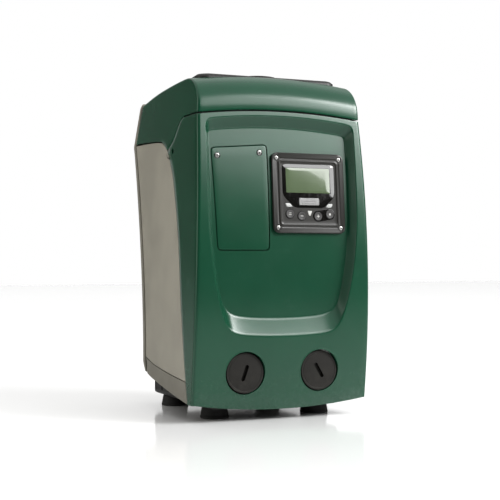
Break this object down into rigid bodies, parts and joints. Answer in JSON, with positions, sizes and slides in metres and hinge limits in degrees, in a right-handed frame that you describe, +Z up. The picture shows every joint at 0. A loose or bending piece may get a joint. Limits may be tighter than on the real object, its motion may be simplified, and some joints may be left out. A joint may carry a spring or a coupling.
{
  "type": "water pressure booster pump unit",
  "caption": "Domestic water booster pump unit: green and grey moulded casing on four rubber feet, front service hatch, display with four keys, screw-in port caps.",
  "frame": {"origin": "on the floor under the middle of the unit's outer box", "axes": "+X to the right seen from the front, +Y towards the back, +Z up"},
  "size_m": [0.236, 0.263, 0.43],
  "materials": {
    "green_plastic": "satin moulded plastic",
    "insert_plastic": "satin",
    "panel_grey": "matt, fine grain",
    "cover_grey": "matt, fine grain",
    "black_plastic": "matt",
    "rubber": "matt",
    "steel": "bright",
    "key_plastic": "satin",
    "bezel_plastic": "satin",
    "gloss_black": "gloss",
    "lcd": "gloss",
    "board_green": "solder mask",
    "badge": "satin",
    "lens": "frosted",
    "cap_plastic": "matt",
    "brass": "machined",
    "body_plastic": "glass filled",
    "impeller_plastic": "natural",
    "copper": "enamelled wire",
    "motor_alloy": "cast",
    "vessel_paint": "gloss"
  },
  "bodies": {
    "root": {"front_shell": "green_plastic", "top_cover": "green_plastic", "top_insert": "insert_plastic", "side_panel_left": "panel_grey", "side_panel_right": "panel_grey", "rear_cover": "cover_grey", "skirt_left": "cover_grey", "skirt_right": "cover_grey", "base_chassis": "black_plastic", "hatch_tray": "black_plastic", "inverter_unit": "black_plastic", "cable_gland": "black_plastic", "foot_front_left": "rubber", "foot_front_right": "rubber", "foot_rear_left": "rubber", "foot_rear_right": "rubber", "mount_dampers": "rubber", "shaft_seal": "rubber", "foot_screws": "steel", "shell_screws": "steel", "display_screws": "steel", "pump_barrel": "steel", "bearings": "steel", "check_valve_spring": "steel", "stator_core": "steel", "service_key": "key_plastic", "display_bezel": "bezel_plastic", "display_window": "gloss_black", "lcd_panel": "lcd", "display_board": "board_green", "badge_plate": "badge", "led_lenses": "lens", "filler_neck": "brass", "port_inserts": "brass", "check_valve_body": "brass", "hydraulic_body": "body_plastic", "diffusers": "body_plastic", "stator_windings": "copper", "motor_shell": "motor_alloy", "motor_cover": "motor_alloy", "expansion_vessel": "vessel_paint"},
    "rotor": {"pump_shaft": "steel", "rotor_core": "steel", "impeller_1": "impeller_plastic", "impeller_2": "impeller_plastic", "impeller_3": "impeller_plastic"},
    "hatch": {"hatch_door": "green_plastic", "hatch_screws": "steel"},
    "check_poppet": {"check_valve_poppet": "rubber"},
    "flow_rotor": {"flow_turbine": "impeller_plastic"},
    "left_seal": {"port_seal_left": "rubber"},
    "left_cap": {"port_cap_left": "cap_plastic"},
    "right_seal": {"port_seal_right": "rubber"},
    "right_cap": {"port_cap_right": "cap_plastic"},
    "top_seal": {"filler_seal": "rubber"},
    "top_cap": {"filler_cap": "cap_plastic"},
    "key_mode_body": {"key_mode": "black_plastic"},
    "key_minus_body": {"key_minus": "black_plastic"},
    "key_plus_body": {"key_plus": "black_plastic"},
    "key_set_body": {"key_set": "black_plastic"}
  },
  "joints": [
    {"name": "rotor_spin", "type": "hinge", "parent": "root", "child": "rotor", "pos_m": [-0.044, 0.02, 0.2], "axis": [0, 0, 1], "continuous": true},
    {"name": "hatch_swing", "type": "hinge", "parent": "root", "child": "hatch", "pos_m": [-0.05, -0.11736, 0.2091], "axis": [1, 0, 0], "range_deg": [0, 80]},
    {"name": "check_valve_lift", "type": "slide", "parent": "root", "child": "check_poppet", "axis": [0, 0, 1], "range_m": [0, 0.006], "stiffness_N_per_m": 60, "springref_m": -0.004, "deforming": ["check_valve_spring"]},
    {"name": "flow_rotor_spin", "type": "hinge", "parent": "root", "child": "flow_rotor", "pos_m": [0.05, 0.01, 0.059], "axis": [0, 1, 0], "continuous": true},
    {"name": "key_mode_press", "type": "slide", "parent": "root", "child": "key_mode_body", "axis": [0, 0.9971, -0.0763], "range_m": [0, 0.0008], "stiffness_N_per_m": 400, "springref_m": -0.0005},
    {"name": "key_minus_press", "type": "slide", "parent": "root", "child": "key_minus_body", "axis": [0, 0.9971, -0.0763], "range_m": [0, 0.0008], "stiffness_N_per_m": 400, "springref_m": -0.0005},
    {"name": "key_plus_press", "type": "slide", "parent": "root", "child": "key_plus_body", "axis": [0, 0.9971, -0.0763], "range_m": [0, 0.0008], "stiffness_N_per_m": 400, "springref_m": -0.0005},
    {"name": "key_set_press", "type": "slide", "parent": "root", "child": "key_set_body", "axis": [0, 0.9971, -0.0763], "range_m": [0, 0.0008], "stiffness_N_per_m": 400, "springref_m": -0.0005},
    {"name": "left_cap_travel", "type": "slide", "parent": "root", "child": "left_seal", "axis": [0, -1, 0], "range_m": [0, 0.01155]},
    {"name": "left_cap_turn", "type": "hinge", "parent": "left_seal", "child": "left_cap", "pos_m": [-0.05, -0.12, 0.059], "axis": [0, -1, 0], "range_deg": [0, 1800]},
    {"name": "right_cap_travel", "type": "slide", "parent": "root", "child": "right_seal", "axis": [0, -1, 0], "range_m": [0, 0.01155]},
    {"name": "right_cap_turn", "type": "hinge", "parent": "right_seal", "child": "right_cap", "pos_m": [0.05, -0.12, 0.059], "axis": [0, -1, 0], "range_deg": [0, 1800]},
    {"name": "top_cap_travel", "type": "slide", "parent": "root", "child": "top_seal", "axis": [0, 0, 1], "range_m": [0, 0.01155]},
    {"name": "top_cap_turn", "type": "hinge", "parent": "top_seal", "child": "top_cap", "pos_m": [0, -0.045, 0.43], "axis": [0, 0, 1], "range_deg": [0, 1800]}
  ],
  "couplings": [
    {"joint": "left_cap_travel", "follows": "left_cap_turn", "m_per_rad": 0.00036749},
    {"joint": "right_cap_travel", "follows": "right_cap_turn", "m_per_rad": 0.00036749},
    {"joint": "top_cap_travel", "follows": "top_cap_turn", "m_per_rad": 0.00036749}
  ]
}
